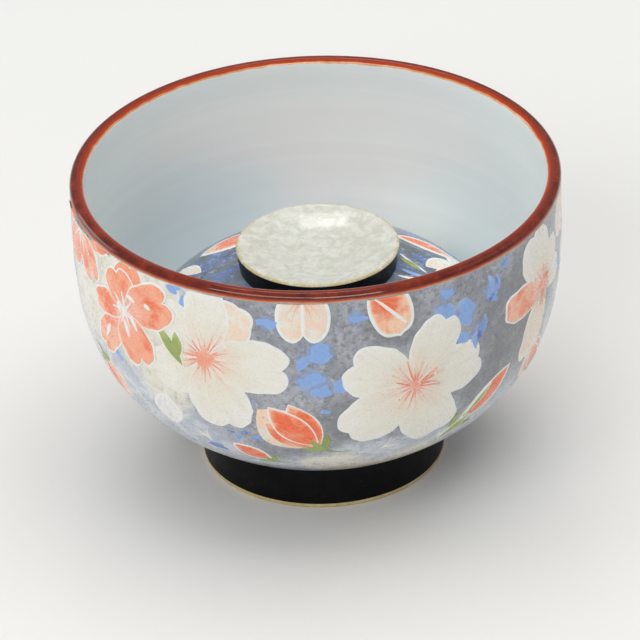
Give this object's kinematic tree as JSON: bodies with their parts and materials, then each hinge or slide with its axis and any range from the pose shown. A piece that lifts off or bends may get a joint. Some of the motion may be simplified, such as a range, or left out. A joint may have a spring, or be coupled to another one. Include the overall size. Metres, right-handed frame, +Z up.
{
  "type": "lidded rice bowl",
  "caption": "Deep round porcelain rice bowl on a straight foot ring, with a domed drop-in lid that has a dished ring knob and enamel blossom decoration.",
  "frame": {"origin": "centre of the foot ring's contact plane", "axes": "+Z up along the bowl's axis, -Y towards the decorated front"},
  "size_m": [0.09, 0.09, 0.059],
  "materials": {
    "painted_glaze": "glossy grey-blue underglaze ground",
    "white_glaze": "clear glossy glaze over white porcelain",
    "brown_glaze": "glossy iron-brown rim glaze",
    "black_glaze": "satin black glaze",
    "bare_clay": "unglazed, rubbed smooth",
    "pearl_glaze": "pearly cream glaze",
    "white_enamel": "opaque white overglaze enamel",
    "coral_enamel": "coral overglaze enamel",
    "leaf_enamel": "yellow-green overglaze enamel",
    "blue_enamel": "cobalt blue enamel"
  },
  "bodies": {
    "bowl": {"bowl_wall": "painted_glaze", "bowl_rim_band": "brown_glaze", "bowl_foot_ring": "black_glaze", "bowl_foot_edge": "bare_clay"},
    "lid": {"lid_dome": "painted_glaze", "lid_rim_band": "brown_glaze", "lid_knob_ring": "black_glaze", "lid_knob_well": "pearl_glaze"}
  },
  "joints": [
    {"name": "lid_lift", "type": "slide", "parent": "bowl", "child": "lid", "axis": [0, 0, 1], "range_m": [0, 0.065]}
  ]
}
